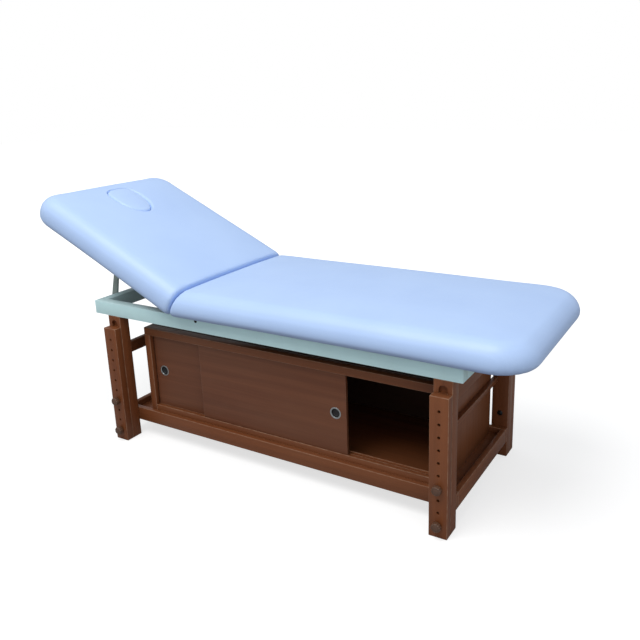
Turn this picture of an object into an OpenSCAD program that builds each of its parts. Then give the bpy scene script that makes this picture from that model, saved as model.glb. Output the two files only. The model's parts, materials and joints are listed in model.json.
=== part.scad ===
// Upholstered spa bed: a lifting backrest and a fixed seat on a painted frame,
// four legs that lengthen on a row of holes, and a low cabinet with two sliding doors.
// X runs along the bed with the head at -X, Y across it, and Z = 0 is the floor.

/* [Legs] */
// Length over the legs
leg_span = 1348; // [1100:1:1600]
// Width over the leg planks
leg_spread = 616; // [520:1:760]
// Width of a leg, seen from the front
leg_w = 58; // [50:1:80]
// Depth of a leg post
post_d = 42; // [36:1:60]
// Height of a leg post
post_h = 486; // [470:1:520]
// Thickness of a leg plank
plank_t = 28; // [20:1:36]
// Height of a leg plank
plank_h = 446; // [424:1:456]
// Spacing of the holes in a leg plank
hole_pitch = 40; // [34:1:42]
// Number of holes in a leg plank
hole_count = 10; // [8:1:10]
// Height of the lowest hole
hole_low = 42; // [36:1:48]
// Diameter of the holes in a leg plank
hole_d = 9.6; // [9:0.1:12]
// Holes between the two bolts of a leg
bolt_steps = 3; // [2:1:3]
// Diameter of a leg bolt
bolt_d = 8; // [6:0.1:8.4]
// Diameter of a leg bolt's head
bolt_head_d = 20; // [16:1:24]
// Thickness of a leg bolt's head
bolt_head_h = 4.5; // [3:0.1:6]
// Width of the groove in a leg post
groove_w = 28; // [20:1:34]
// Depth of the groove in a leg post
groove_d = 10; // [6:0.5:14]
// Height of the groove above the leg plank
groove_over = 24; // [15:1:28]

/* [Leg knobs] */
// Diameter of a knob
knob_d = 30; // [24:1:34]
// Length of a knob
knob_len = 20; // [16:1:26]
// Depth of the threaded hole in a knob
knob_bore = 14; // [10:1:15]
// Number of grip flutes on a knob
knob_flutes = 12; // [8:1:16]
// Diameter of a grip flute
flute_d = 4; // [2:0.1:5]

/* [Top frame] */
// Height of the painted frame
frame_h = 49; // [40:1:60]
// Thickness of the frame rails
frame_wall = 36; // [28:1:42]
// Reach of the frame past the head legs
frame_over_head = 63; // [40:1:80]
// Reach of the frame past the foot legs
frame_over_foot = 29; // [10:1:60]
// Width of a cross rail
cross_w = 30; // [20:1:40]
// Height of a cross rail
cross_h = 38; // [30:1:40]
// Distance from the hinge to the first cross rail
cross_from_hinge = 93; // [80:1:200]
// Distance between the two cross rails
cross_gap = 520; // [400:1:620]
// Diameter of a frame bolt's head
frame_bolt_head_d = 13; // [10:0.5:18]
// Diameter of a frame bolt
frame_bolt_d = 6; // [5:0.1:8]
// Length of a frame bolt past the frame rail
frame_bolt_grip = 34; // [20:1:60]

/* [Base rails] */
// Thickness of the wooden boards
board_t = 18; // [15:1:19]
// Height of the base rails above the floor
base_z = 60; // [54:1:70]
// Height of a base rail
base_h = 51; // [44:1:54]
// Height of the base board above the floor
floor_z = 74; // [72:1:80]
// Thickness of the base board
floor_t = 16; // [12:1:18]
// Height of the head stretcher's underside
stretcher_z = 317; // [220:1:380]
// Height of the head stretcher
stretcher_h = 43; // [30:1:60]
// Height of the foot apron
apron_h = 68; // [50:1:90]
// Height of the foot lath
lath_h = 16; // [10:1:30]
// Height of the foot lath's top above the floor
lath_top = 294; // [260:1:380]
// Depth of a lath socket in a leg post
lath_socket = 12; // [8:1:20]

/* [Cabinet] */
// Distance from the head leg posts to the cabinet
cab_from_leg = 54; // [30:1:120]
// Height of the cabinet
cab_h = 347; // [300:1:360]
// Width of the front stiles
stile_w = 26; // [22:1:40]
// Height of the front top rail
rail_top_h = 28; // [24:1:40]
// Height of the front bottom rail
rail_low_h = 42; // [34:1:50]
// Depth of the two front rails
rail_d = 36; // [34:1:50]
// Thickness of the back panel
back_t = 10; // [6:1:16]

/* [Doors] */
// Width of a sliding door
door_w = 599; // [564:1:650]
// Thickness of a sliding door
door_t = 12; // [9:0.5:13]
// Step of the front door behind the cabinet front
door_step = 4; // [3:0.5:5]
// Gap between the two doors
door_gap = 2; // [1:0.1:3]
// Depth of the door grooves in the top rail
groove_top_d = 9; // [7:0.5:12]
// Depth of the door grooves in the bottom rail
groove_low_d = 4; // [3:0.5:6]
// Clearance round a door in its groove
door_clear = 0.6; // [0.4:0.1:1]
// Rest place of the front door, from the head stile
door_b_rest = 231; // [0:1:400]
// Outer diameter of a ring pull
pull_d = 40; // [34:1:52]
// Width of a ring pull's rim
pull_rim = 4.5; // [3:0.5:7]
// Depth of a ring pull's cup
cup_depth = 9; // [5:0.5:9]
// Distance from a pull's centre to the door's edge
pull_edge = 40; // [30:1:80]

/* [Cushions] */
// Width of the cushions
pad_w = 660; // [600:1:700]
// Length of the seat cushion
seat_len = 1238; // [1150:1:1300]
// Length of the backrest cushion
back_len = 716; // [695:1:760]
// Height of the seat cushion at its edge
seat_pad_h = 95; // [90:1:120]
// Height of the backrest cushion at its edge
back_pad_h = 106; // [90:1:120]
// Rise of a cushion towards its middle
crown = 6; // [0:0.5:14]
// Radius of a cushion's upper edge
edge_top_r = 56; // [20:1:56]
// Radius of a cushion's lower edge
edge_low_r = 34; // [6:1:34]
// Radius of the seat cushion's foot corners
foot_corner_r = 120; // [60:1:140]
// Radius of the backrest cushion's head corners
head_corner_r = 90; // [60:1:140]
// Radius of a cushion's corners at the seam
seam_r = 12; // [6:1:24]
// Draw of a cushion's long sides towards the middle
side_draw = 3; // [0:0.5:8]
// Thickness of the boards in the cushions
pad_board_t = 12; // [9:0.5:15]
// Distance from a cushion's edge to its board
pad_board_inset = 42; // [40:1:50]
// Clearance round a soft piece
soft_clear = 0.3; // [0.2:0.1:1]

/* [Backrest] */
// Angle at which the backrest is modelled
rest_angle = 25; // [10:1:40]
// Steepest angle of the backrest
max_angle = 45; // [42:1:50]
// Distance from the head legs' outer faces to the hinge
hinge_from_head = 333; // [300:1:360]
// Distance from the frame's top down to the hinge pins
hinge_drop = 4; // [3:0.5:5]
// Outer diameter of a hinge knuckle
knuckle_d = 10; // [8:0.5:12]
// Diameter of a hinge pin
pin_d = 5; // [4:0.1:6]
// Running clearance round a pin
pin_clear = 0.05; // [0.03:0.01:0.1]
// Thickness of a hinge leaf
leaf_t = 2; // [1.5:0.1:2.5]
// Length of a hinge leaf
leaf_len = 34; // [26:1:50]
// Width of one hinge knuckle
knuckle_w = 28; // [20:1:40]
// Gap between hinge knuckles
knuckle_gap = 0.5; // [0.3:0.1:1]
// Distance between the two hinges
hinge_spread = 320; // [200:1:380]

/* [Face plug] */
// Distance from the hinge to the widest place of the face plug
plug_from_hinge = 560; // [470:1:564]
// Reach of the face plug from there towards the head
plug_head_reach = 76; // [56:1:80]
// Reach of the face plug from there towards the seat
plug_seat_reach = 106; // [76:1:120]
// Width of the face plug
plug_w = 132; // [100:1:150]
// Squareness of the face plug's head side, where 2 is an ellipse
plug_head_square = 3.2; // [2:0.1:4]
// Squareness of the face plug's seat side, where 2 is an ellipse
plug_seat_square = 2; // [2:0.1:3]
// Ledge of the board under the face plug
plug_ledge = 10; // [6:1:20]
// Rise of the face plug above the cushion
plug_rise = 5; // [0:0.5:10]
// Radius of the face plug's upper edge
plug_edge_r = 14; // [8:1:20]
// Clearance round the face plug
plug_clear = 0.6; // [0.4:0.1:1.5]

/* [Stays] */
// Distance from the hinge to a stay's pivot
stay_reach = 414; // [412:1:420]
// Distance from the hinge's level down to a stay's pivot
stay_drop = 6.5; // [6:0.5:9]
// Length of a stay below its pivot
stay_len = 345; // [335:1:400]
// Thickness of a stay
stay_t = 7; // [5:0.5:9]
// Distance between the two stays
stay_spread = 320; // [200:1:400]
// Reach of a stay's straight edge past its pivot line
stay_in = 9.5; // [8:0.5:10]
// Reach of a stay's tapered edge at its pivot
stay_out_top = 7; // [6:0.5:10]
// Reach of a stay's tapered edge at its wide part
stay_out_low = 18; // [12:0.5:20]
// Depth of a stay's notches
notch_d = 5; // [3:0.5:6]
// Height of a stay's notches
notch_h = 9; // [6:0.5:12]
// Angles at which a stay's notches hold the backrest
notch_angles = [25, 35, 45];
// Diameter of a stay's pivot pin
stay_pin_d = 6; // [5:0.1:7]
// Thickness of a stay bracket's ears
ear_t = 3; // [2:0.5:5]
// Height of a stay keeper
keeper_h = 12; // [8:1:16]
// Thickness of a stay keeper's strap
keeper_t = 4; // [3:0.5:6]
// Gap between a stay and its keeper
keeper_gap = 1.5; // [1:0.1:3]

/* [Hidden] */

// Finish of each kind of piece
wood = [0.47, 0.28, 0.19];
wood_dark = [0.38, 0.22, 0.15];
paint = [0.86, 0.90, 0.87];
hide = [0.72, 0.82, 0.95];
steel = [0.74, 0.75, 0.76];
black = [0.12, 0.12, 0.12];
knob_tone = [0.42, 0.36, 0.32];

// Overrun of every cut
cut = 1;
// Gap of a sliding plank to its post, and of its tongue to the groove
slide_gap = 0.3;
// Gap of a bolt in the wood that holds it
bolt_gap = 0.05;

// Places in the length, from the middle of the legs
leg_x = leg_span / 2;
hole_x = leg_x - leg_w / 2;
head_x = -leg_x - frame_over_head;
foot_x = leg_x + frame_over_foot;
hinge_x = -leg_x + hinge_from_head;
// Places across the bed
plank_y = leg_spread / 2;
post_y = plank_y - plank_t;
post_in_y = post_y - post_d;
frame_in_y = post_y - frame_wall;
// Heights
frame_z = post_h;
frame_top = frame_z + frame_h;
hinge_z = frame_top - hinge_drop;
cab_z = floor_z + floor_t;
cab_top = cab_z + cab_h;
// Step of the holes, which all stay in the leg plank
hole_step = min(hole_pitch, (plank_h - 2 * hole_low) / (hole_count - 1));
bolt_zs = [hole_low, hole_low + bolt_steps * hole_step];
// The cabinet
cab_x0 = -leg_x + leg_w + cab_from_leg;
cab_x1 = leg_x - leg_w;
cab_y = post_in_y - board_t;
door_x0 = cab_x0 + stile_w;
door_x1 = cab_x1 - stile_w;
door_low = cab_z + rail_low_h - groove_low_d + door_clear;
door_high = cab_top - rail_top_h + groove_top_d - door_clear;
door_front_y = -cab_y + door_step;
door_rear_y = door_front_y + door_t + door_gap;
door_end_gap = 1;
pull_z = (cab_z + rail_low_h + cab_top - rail_top_h) / 2;
// The cushions
pad_half = pad_w / 2;
seat_x1 = hinge_x + seat_len;
pad_low = hinge_drop + soft_clear;
board_low = hinge_drop;
board_high = board_low + pad_board_t;
// Gaps: of the cushions' ends to the seam, of the seat cushion to its soft end, of a board to the knuckles
seam_gap = 0.6;
seat_end_gap = 1.2;
board_hinge_gap = 1.5;
// Share of the edge inset that the seam end takes, and share of the soft end's thickness in its corners
seam_inset_share = 0.12;
nose_corner_share = 0.25;
// Rings of a cushion: along the lower edge, the upper edge and the crown, and points of a corner and a side
low_rings = 3;
top_rings = 6;
crown_rings = 3;
corner_points = 6;
side_points = 5;
// Reach of the crown's last ring, as a share of the cushion's half width
crown_share = 0.72;
// Points of the face plug's outline
plug_points = 40;

// The bolts, knobs and pulls: shares of the sizes that carry them
frame_bolt_share = 1 / 3;
frame_bolt_cap_share = 0.2;
flute_out_share = 0.25;
pull_lip_share = 0.25;
cup_wall = 1;
// Knuckles of one hinge
knuckle_count = 3;
// The stays: a pivot's distance from the hinge, and the angle by which it lies below the backrest's line
pivot_radius = norm([stay_reach, stay_drop]);
pivot_lag = atan2(stay_drop, stay_reach);
// Gap of a stay to its bracket's ears
ear_gap = 1;
// Distance from the pivot's place when the backrest lies flat down to the keeper's top
keeper_gap_z = 2;
keeper_drop = stay_in + keeper_gap_z;
// Share of a notch's height that its bottom keeps, and points of a stay's rounded top
notch_share = 0.7;
top_points = 12;

// A point on an arc about a centre
function arc_point(c, r, a) = [c[0] + r * cos(a), c[1] + r * sin(a)];

// Draw of the long sides at a place along the cushion
function drawn(x, xa, xb) = side_draw * (1 - pow((2 * x - xa - xb) / (xb - xa), 2));

// Points of a quarter round of a ring
function ring_corner(x, y, r, start, z) = [
    for (i = [0:corner_points])
        let (p = arc_point([x, y], r, start + 90 * i / corner_points)) [p[0], p[1], z]];

// Points of a long side of a ring, between its corners
function ring_side(xa, xb, half, sy, z) = [
    for (i = [1:side_points]) let (x = xa + (xb - xa) * i / (side_points + 1))
        [x, sy * (half - drawn(x, xa, xb)), z]];

// One level ring of a cushion: its ends, its half width and the radii of its corners at both ends
function pad_ring(xa, xb, half, ra, rb, z) = concat(
    ring_corner(xb - rb, half - rb, rb, 0, z),
    ring_side(xb - rb, xa + ra, half, 1, z),
    ring_corner(xa + ra, half - ra, ra, 90, z),
    ring_corner(xa + ra, ra - half, ra, 180, z),
    ring_side(xa + ra, xb - rb, half, -1, z),
    ring_corner(xb - rb, rb - half, rb, 270, z));

// Inset and height of each ring, from the underside to the top of the crown
function pad_levels(low, high, reach) = [
    for (i = [0:low_rings]) let (a = 90 * i / low_rings)
        [edge_low_r * (1 - sin(a)), low + edge_low_r * (1 - cos(a))],
    for (i = [0:top_rings]) let (a = 90 * i / top_rings)
        [edge_top_r * (1 - cos(a)), high - edge_top_r * (1 - sin(a))],
    for (i = [1:crown_rings]) let (k = i / crown_rings)
        [edge_top_r + (reach * crown_share - edge_top_r) * k, high + crown * (1 - pow(1 - k, 2))]];

// Place of a ring's end at the seam, on a plane that leans from the hinge
function seam_x(level, lean, gap) = gap + level[1] * tan(lean) + seam_inset_share * level[0];

// Rings of a cushion whose seam end leans and whose outer end is rounded
function pad_rings(low, high, length, far_r, lean, gap) = [
    for (l = pad_levels(low, high, pad_half))
        pad_ring(seam_x(l, lean, gap), length - l[0], pad_half - l[0],
                 seam_r, max(far_r - l[0], seam_r), l[1])];

// One solid through a stack of rings, closed by a fan at each end
module loft(rings) {
    n = len(rings[0]);
    m = len(rings);
    sum_low = [for (i = [0:2]) [for (p = rings[0]) p[i]] * [for (p = rings[0]) 1] / n];
    sum_high = [for (i = [0:2]) [for (p = rings[m - 1]) p[i]] * [for (p = rings[m - 1]) 1] / n];
    polyhedron(
        points = concat([for (r = rings) each r], [sum_low, sum_high]),
        faces = concat(
            [for (k = [0:m - 2]) for (i = [0:n - 1]) let (a = k * n + i, b = k * n + (i + 1) % n)
                each [[a, a + n, b + n], [a, b + n, b]]],
            [for (i = [0:n - 1]) [i, (i + 1) % n, n * m]],
            [for (i = [0:n - 1]) [(m - 1) * n + (i + 1) % n, (m - 1) * n + i, n * m + 1]]),
        convexity = 6);
}

// Ends of the raised backrest and the foot of the seat, which centre the bed on its own box
back_rings = pad_rings(pad_low, pad_low + back_pad_h, back_len, head_corner_r, 0, seam_gap);
back_tip = min([for (r = back_rings) for (p = r) -p[0] * cos(rest_angle) + p[2] * sin(rest_angle)]);
centre_x = -(hinge_x + back_tip + seat_x1) / 2;

// Puts a piece drawn from the middle of the legs in its place
module placed() { translate([centre_x, 0, 0]) children(); }

// Puts a piece drawn flat from the hinge, with the head at +X, on the raised backrest
module raised() {
    placed() translate([hinge_x, 0, hinge_z]) rotate([0, rest_angle, 0]) mirror([1, 0, 0]) children();
}

// A board between two corners
module board(a, b) { translate(a) cube(b - a); }

// A round bar along Y between two places
module bar_y(x, y0, y1, z, d) {
    translate([x, y0, z]) rotate([-90, 0, 0]) cylinder(d = d, h = y1 - y0, $fn = 32);
}

// A leg post with its blind groove, its bolt holes and, at the foot, the lath's socket
module post(sx, sy) {
    color(wood) placed() at_corner(sx, sy) difference() {
        board([leg_x - leg_w, post_in_y, 0], [leg_x, post_y, post_h]);
        translate([hole_x - groove_w / 2, post_y - groove_d, -cut])
            cube([groove_w, groove_d + cut, plank_h + groove_over - groove_w / 2 + cut]);
        translate([hole_x, post_y + cut, plank_h + groove_over - groove_w / 2]) rotate([90, 0, 0])
            cylinder(d = groove_w, h = groove_d + cut, $fn = 48);
        for (z = bolt_zs) bar_y(hole_x, post_in_y - cut, post_y + cut, z, bolt_d + 2 * bolt_gap);
        if (sx > 0) board([cab_x1 - cut, post_in_y - cut, lath_top - lath_h - bolt_gap],
                          [cab_x1 + board_t + bolt_gap, post_in_y + lath_socket, lath_top + bolt_gap]);
    }
}

// Mirrors a piece of the foot front corner to another corner
module at_corner(sx, sy) {
    mirror([sx < 0 ? 1 : 0, 0, 0]) mirror([0, sy < 0 ? 1 : 0, 0]) children();
}

// A leg plank with the tongue that runs in the post's groove and its row of holes
module leg_plank(sx, sy) {
    color(wood) placed() at_corner(sx, sy) difference() {
        union() {
            board([leg_x - leg_w, post_y + slide_gap, 0], [leg_x, plank_y, plank_h]);
            board([hole_x - groove_w / 2 + slide_gap, post_y - groove_d + slide_gap, 0],
                  [hole_x + groove_w / 2 - slide_gap, post_y + slide_gap, plank_h]);
        }
        for (i = [0:hole_count - 1])
            bar_y(hole_x, post_y - groove_d - cut, plank_y + cut, hole_low + i * hole_step, hole_d);
    }
}

// A leg bolt: its domed head on the post's inner face and its shank out to the knob
module leg_bolt(z) {
    bar_y(hole_x, post_in_y, plank_y + knob_bore - slide_gap, z, bolt_d);
    translate([hole_x, post_in_y, z]) rotate([90, 0, 0]) rotate_extrude($fn = 48) intersection() {
        translate([0, -bolt_dome_r() + bolt_head_h]) circle(r = bolt_dome_r(), $fn = 96);
        square([bolt_head_d / 2, bolt_head_h]);
    }
}

// Radius of the dome of a leg bolt's head
function bolt_dome_r() = (pow(bolt_head_d / 2, 2) + pow(bolt_head_h, 2)) / (2 * bolt_head_h);

module leg_bolts() {
    color(black) placed()
        for (sx = [-1, 1]) for (sy = [-1, 1]) for (z = bolt_zs) at_corner(sx, sy) leg_bolt(z);
}

// A fluted knob on a leg bolt
module knob(sx, sy, z) {
    chamfer = flute_d / 2;
    color(knob_tone) placed() at_corner(sx, sy)
        translate([hole_x, plank_y + slide_gap, z]) rotate([-90, 0, 0]) difference() {
            rotate_extrude($fn = 64) polygon([
                [0, 0], [knob_d / 2 - chamfer, 0], [knob_d / 2, chamfer], [knob_d / 2, knob_len - chamfer],
                [knob_d / 2 - chamfer, knob_len], [0, knob_len]]);
            translate([0, 0, -cut]) cylinder(d = bolt_d + 2 * pin_clear, h = knob_bore + cut, $fn = 32);
            for (i = [1:knob_flutes]) rotate([0, 0, 360 * i / knob_flutes])
                translate([knob_d / 2 + flute_d * flute_out_share, 0, 2 * chamfer])
                    cylinder(d = flute_d, h = knob_len, $fn = 24);
        }
}

// A rail along the bed behind the leg posts
module long_rail(sy) {
    color(wood) placed() at_corner(1, sy)
        board([-leg_x, post_in_y - board_t, base_z], [leg_x, post_in_y, base_z + base_h]);
}

// A rail across the bed, flush with the legs' outer faces
module end_rail(sx) {
    color(wood) placed() at_corner(sx, 1)
        board([leg_x - board_t, -cab_y, base_z], [leg_x, cab_y, base_z + base_h]);
}

module head_stretcher() {
    color(wood) placed()
        board([-leg_x, -post_in_y, stretcher_z], [-leg_x + board_t, post_in_y, stretcher_z + stretcher_h]);
}

module foot_apron() {
    color(wood) placed() board([leg_x - board_t, -post_in_y, post_h - apron_h], [leg_x, post_in_y, post_h]);
}

// A lath across the foot end, let into the foot posts against the cabinet
module foot_lath() {
    color(wood) placed() board([cab_x1, -post_in_y - lath_socket, lath_top - lath_h],
                               [cab_x1 + board_t, post_in_y + lath_socket, lath_top]);
}

// A long rail of the painted frame, with the holes of the frame bolts
module top_rail_long(sy) {
    color(paint) placed() difference() {
        at_corner(1, sy) board([head_x, frame_in_y, frame_z], [foot_x, post_y, frame_top]);
        bar_y(cross_x(0), sy < 0 ? -post_y - cut : frame_in_y - cut, sy < 0 ? cut - frame_in_y : post_y + cut,
              cross_z(), frame_bolt_d + 2 * bolt_gap);
    }
}

module top_rail_head() {
    color(paint) placed()
        board([head_x, -frame_in_y, frame_z], [head_x + frame_wall, frame_in_y, frame_top]);
}

module top_rail_foot() {
    color(paint) placed()
        board([foot_x - frame_wall, -frame_in_y, frame_z], [foot_x, frame_in_y, frame_top]);
}

// Middle of each cross rail along the bed, and the height of the bolts in it
function cross_x(i) = hinge_x + cross_from_hinge + i * cross_gap;
function cross_z() = frame_top - cross_w * frame_bolt_share;

module cross_rail(i) {
    color(wood) placed() difference() {
        board([cross_x(i) - cross_w / 2, -frame_in_y, frame_top - cross_h],
              [cross_x(i) + cross_w / 2, frame_in_y, frame_top]);
        if (i == 0) for (sy = [-1, 1]) at_corner(1, sy)
            bar_y(cross_x(i), frame_in_y - frame_bolt_grip - cut, frame_in_y + cut, cross_z(),
                  frame_bolt_d + 2 * bolt_gap);
    }
}

// The bolts of the first cross rail, with their domed heads on the frame's faces
module frame_bolts() {
    color(black) placed() for (sy = [-1, 1]) at_corner(1, sy) {
        bar_y(cross_x(0), frame_in_y - frame_bolt_grip, post_y, cross_z(), frame_bolt_d);
        translate([cross_x(0), post_y, cross_z()]) rotate([-90, 0, 0])
            cylinder(d1 = frame_bolt_head_d, d2 = frame_bolt_head_d - 2 * frame_bolt_cap(),
                     h = frame_bolt_cap(), $fn = 48);
    }
}

// Thickness of a frame bolt's head
function frame_bolt_cap() = frame_bolt_head_d * frame_bolt_cap_share;

// A board of the cushions, flat from the hinge: its near end, its far end and its rounded far corners
module pad_board(x0, x1, far_r) {
    half = pad_half - pad_board_inset;
    r = far_r - pad_board_inset;
    union() {
        translate([x0, -half]) square([x1 - r - x0, 2 * half]);
        translate([x0, r - half]) square([x1 - x0, 2 * half - 2 * r]);
        for (sy = [-1, 1]) translate([x1 - r, sy * (half - r)]) circle(r = r, $fn = 96);
    }
}

// Near end of the seat board, which leaves the raised backrest its swing
function seat_board_x0() = board_high * tan(max_angle) + board_hinge_gap;

// Near end of the backrest board, clear of the hinge knuckles
function back_board_x0() = knuckle_d / 2 + board_hinge_gap;

module seat_board() {
    color(wood_dark) placed() translate([hinge_x, 0, hinge_z + board_low])
        linear_extrude(height = pad_board_t)
            pad_board(seat_board_x0(), seat_len - pad_board_inset, foot_corner_r);
}

// The hollow under a cushion that holds its board and clears the hinge
module board_hollow(x0, x1, far_r) {
    translate([0, 0, pad_low - cut]) linear_extrude(height = board_high + soft_clear - pad_low + cut) {
        hollow_outline(x0, x1, far_r);
    }
}

// Outline of a board's hollow
module hollow_outline(x0, x1, far_r) {
    half = pad_half - pad_board_inset + soft_clear;
    r = far_r - pad_board_inset;
    translate([x0, -half]) square([x1 - r - x0, 2 * half]);
    translate([x0, r - half]) square([x1 + soft_clear - x0, 2 * half - 2 * r]);
    for (sy = [-1, 1]) translate([x1 - r, sy * (half - r)]) circle(r = r + soft_clear / 2, $fn = 48);
}

module seat_pad() {
    color(hide) placed() translate([hinge_x, 0, hinge_z]) difference() {
        loft(pad_rings(pad_low, pad_low + seat_pad_h, seat_len, foot_corner_r, max_angle, seat_end_gap));
        board_hollow(-cut, seat_len - pad_board_inset, foot_corner_r);
    }
}

// The soft end of the seat cushion, which the raised backrest presses flat
module seat_pad_nose() {
    color(hide) placed() translate([hinge_x, 0, hinge_z]) difference() {
        loft(nose_rings());
        board_hollow(-cut, seat_len - pad_board_inset, foot_corner_r);
    }
}

// Rings of the soft end: from the backrest's end face at rest to the seat cushion's own end
function nose_rings() = [
    for (l = pad_levels(pad_low, pad_low + seat_pad_h, pad_half))
        let (xa = seam_x(l, rest_angle, seam_gap), xb = seam_x(l, max_angle, seam_gap - soft_clear),
             r = min(seam_r, (xb - xa) * nose_corner_share))
        pad_ring(xa, xb, pad_half - l[0], r, r, l[1])];

module backrest_board() {
    color(wood_dark) raised() translate([0, 0, board_low + soft_clear])
        linear_extrude(height = pad_board_t) difference() {
            pad_board(back_board_x0(), back_len - pad_board_inset, head_corner_r);
            polygon(plug_outline(plug_ledge));
        }
}

// A coordinate of a squared oval, from the cosine or sine of its angle
function squared(reach, k, square) = reach * sign(k) * pow(abs(k), 2 / square);

// Outline of the face plug, drawn in by an inset: squarer towards the head and rounder towards the seat
function plug_outline(inset) = [
    for (i = [0:plug_points - 1])
        let (a = 360 * i / plug_points, head = cos(a) > 0,
             reach = (head ? plug_head_reach : plug_seat_reach) - inset,
             square = head ? plug_head_square : plug_seat_square)
        [plug_from_hinge + squared(reach, cos(a), square), squared(plug_w / 2 - inset, sin(a), square)]];

module backrest_pad() {
    color(hide) raised() difference() {
        loft(back_rings);
        translate([0, 0, soft_clear]) board_hollow(-cut, back_len - pad_board_inset, head_corner_r);
        translate([0, 0, board_high]) linear_extrude(height = back_pad_h + crown) polygon(plug_outline(0));
    }
}

// Inset and height of each ring of the face plug
function plug_levels(low, top) = [
    [0, low],
    for (i = [0:top_rings]) let (a = 90 * i / top_rings)
        [plug_edge_r * (1 - cos(a)), top - crown - plug_edge_r * (1 - sin(a))],
    for (i = [1:crown_rings]) let (k = i / crown_rings)
        [plug_edge_r + (plug_w / 2 - plug_edge_r) * crown_share * k, top - crown * pow(1 - k, 2)]];

// The lift-out pillow of the face hole, which lies on the ledge of the backrest board
module face_plug() {
    color(hide) raised() loft([
        for (l = plug_levels(board_high + 2 * soft_clear, pad_low + back_pad_h + crown + plug_rise))
            [for (p = plug_outline(plug_clear + l[0])) [p[0], p[1], l[1]]]]);
}

// Places of the knuckles of one hinge along its pin
function knuckle_y(i) = (i - knuckle_count / 2) * (knuckle_w + knuckle_gap);

// A knuckle of a hinge with its bore for the pin and its leaf along +X
module knuckle(i) {
    difference() {
        union() {
            bar_y(0, knuckle_y(i), knuckle_y(i) + knuckle_w, 0, knuckle_d);
            translate([0, knuckle_y(i), hinge_drop - leaf_t]) cube([leaf_len, knuckle_w, leaf_t]);
        }
        bar_y(0, knuckle_y(i) - cut, knuckle_y(i) + knuckle_w + cut, 0, pin_d + 2 * pin_clear);
    }
}

module hinge_leaves_seat() {
    color(steel) placed() for (sy = [-1, 1]) translate([hinge_x, sy * hinge_spread / 2, hinge_z]) {
        knuckle(0);
        knuckle(2);
        translate([leaf_len / 2, knuckle_y(0), hinge_drop - leaf_t])
            cube([leaf_len / 2, knuckle_y(2) + knuckle_w - knuckle_y(0), leaf_t]);
    }
}

module hinge_leaves_back() {
    color(steel) raised() for (sy = [-1, 1]) translate([0, sy * hinge_spread / 2, soft_clear]) {
        translate([0, 0, -soft_clear]) back_knuckle();
        translate([leaf_len / 2, knuckle_y(0), hinge_drop - leaf_t])
            cube([leaf_len / 2, knuckle_y(2) + knuckle_w - knuckle_y(0), leaf_t]);
    }
}

// The middle knuckle of a hinge, whose leaf lies under the backrest board
module back_knuckle() {
    difference() {
        union() {
            bar_y(0, knuckle_y(1), knuckle_y(1) + knuckle_w, 0, knuckle_d);
            translate([0, knuckle_y(1), hinge_drop - leaf_t + soft_clear])
                cube([leaf_len, knuckle_w, leaf_t]);
        }
        bar_y(0, knuckle_y(1) - cut, knuckle_y(1) + knuckle_w + cut, 0, pin_d + 2 * pin_clear);
    }
}

module hinge_pins() {
    color(steel) placed() for (sy = [-1, 1])
        translate([0, sy * hinge_spread / 2, 0])
            bar_y(hinge_x, knuckle_y(0), knuckle_y(2) + knuckle_w, hinge_z, pin_d);
}

// Length of a stay between its pivot and its place in the keeper when the backrest stands at an angle
function stay_run(angle) = 2 * pivot_radius * sin(angle / 2);

// Outline of a stay, hanging from its pivot, with its straight edge towards +X
module stay_outline() {
    top_r = (stay_in + stay_out_top) / 2;
    difference() {
        polygon([
            [stay_in, stay_in - stay_len], [0, -stay_len], [-stay_out_low, -stay_len],
            [-stay_out_low, -stay_run(rest_angle)], [-stay_out_top, -stay_in],
            for (i = [0:top_points]) arc_point([stay_in - top_r, 0], top_r, 180 - 180 * i / top_points)]);
        for (a = notch_angles) translate([stay_in - notch_d, -stay_run(a) - keeper_drop])
            polygon([[0, 0], [notch_d + cut, 0], [notch_d + cut, notch_h], [0, notch_h * notch_share]]);
    }
}

// A stay from its pivot on the backrest, through its keeper on the frame
module stay(sy) {
    q = [hinge_x - pivot_radius * cos(rest_angle - pivot_lag), sy * stay_spread / 2,
         hinge_z + pivot_radius * sin(rest_angle - pivot_lag)];
    color(paint) placed() translate(q) rotate([0, rest_angle / 2 - pivot_lag, 0]) difference() {
        translate([0, stay_t / 2, 0]) rotate([90, 0, 0]) linear_extrude(height = stay_t) stay_outline();
        bar_y(0, -stay_t, stay_t, 0, stay_pin_d + 2 * pin_clear);
    }
}

// The brackets under the backrest board that carry the stays' pivot pins
module stay_brackets() {
    ear_in = stay_t / 2 + ear_gap;
    ear_r = stay_in - ear_gap;
    color(steel) raised() for (sy = [-1, 1]) translate([stay_reach, sy * stay_spread / 2, -stay_drop]) {
        for (side = [-1, 1]) difference() {
            union() {
                bar_y(0, side > 0 ? ear_in : -ear_in - ear_t, side > 0 ? ear_in + ear_t : -ear_in,
                      0, 2 * ear_r);
                translate([-ear_r, side > 0 ? ear_in : -ear_in - ear_t, 0])
                    cube([2 * ear_r, ear_t, stay_drop + board_low + soft_clear]);
            }
            bar_y(0, -ear_in - ear_t - cut, ear_in + ear_t + cut, 0, stay_pin_d + 2 * pin_clear);
        }
        bar_y(0, -ear_in - ear_t, ear_in + ear_t, 0, stay_pin_d);
    }
}

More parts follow.
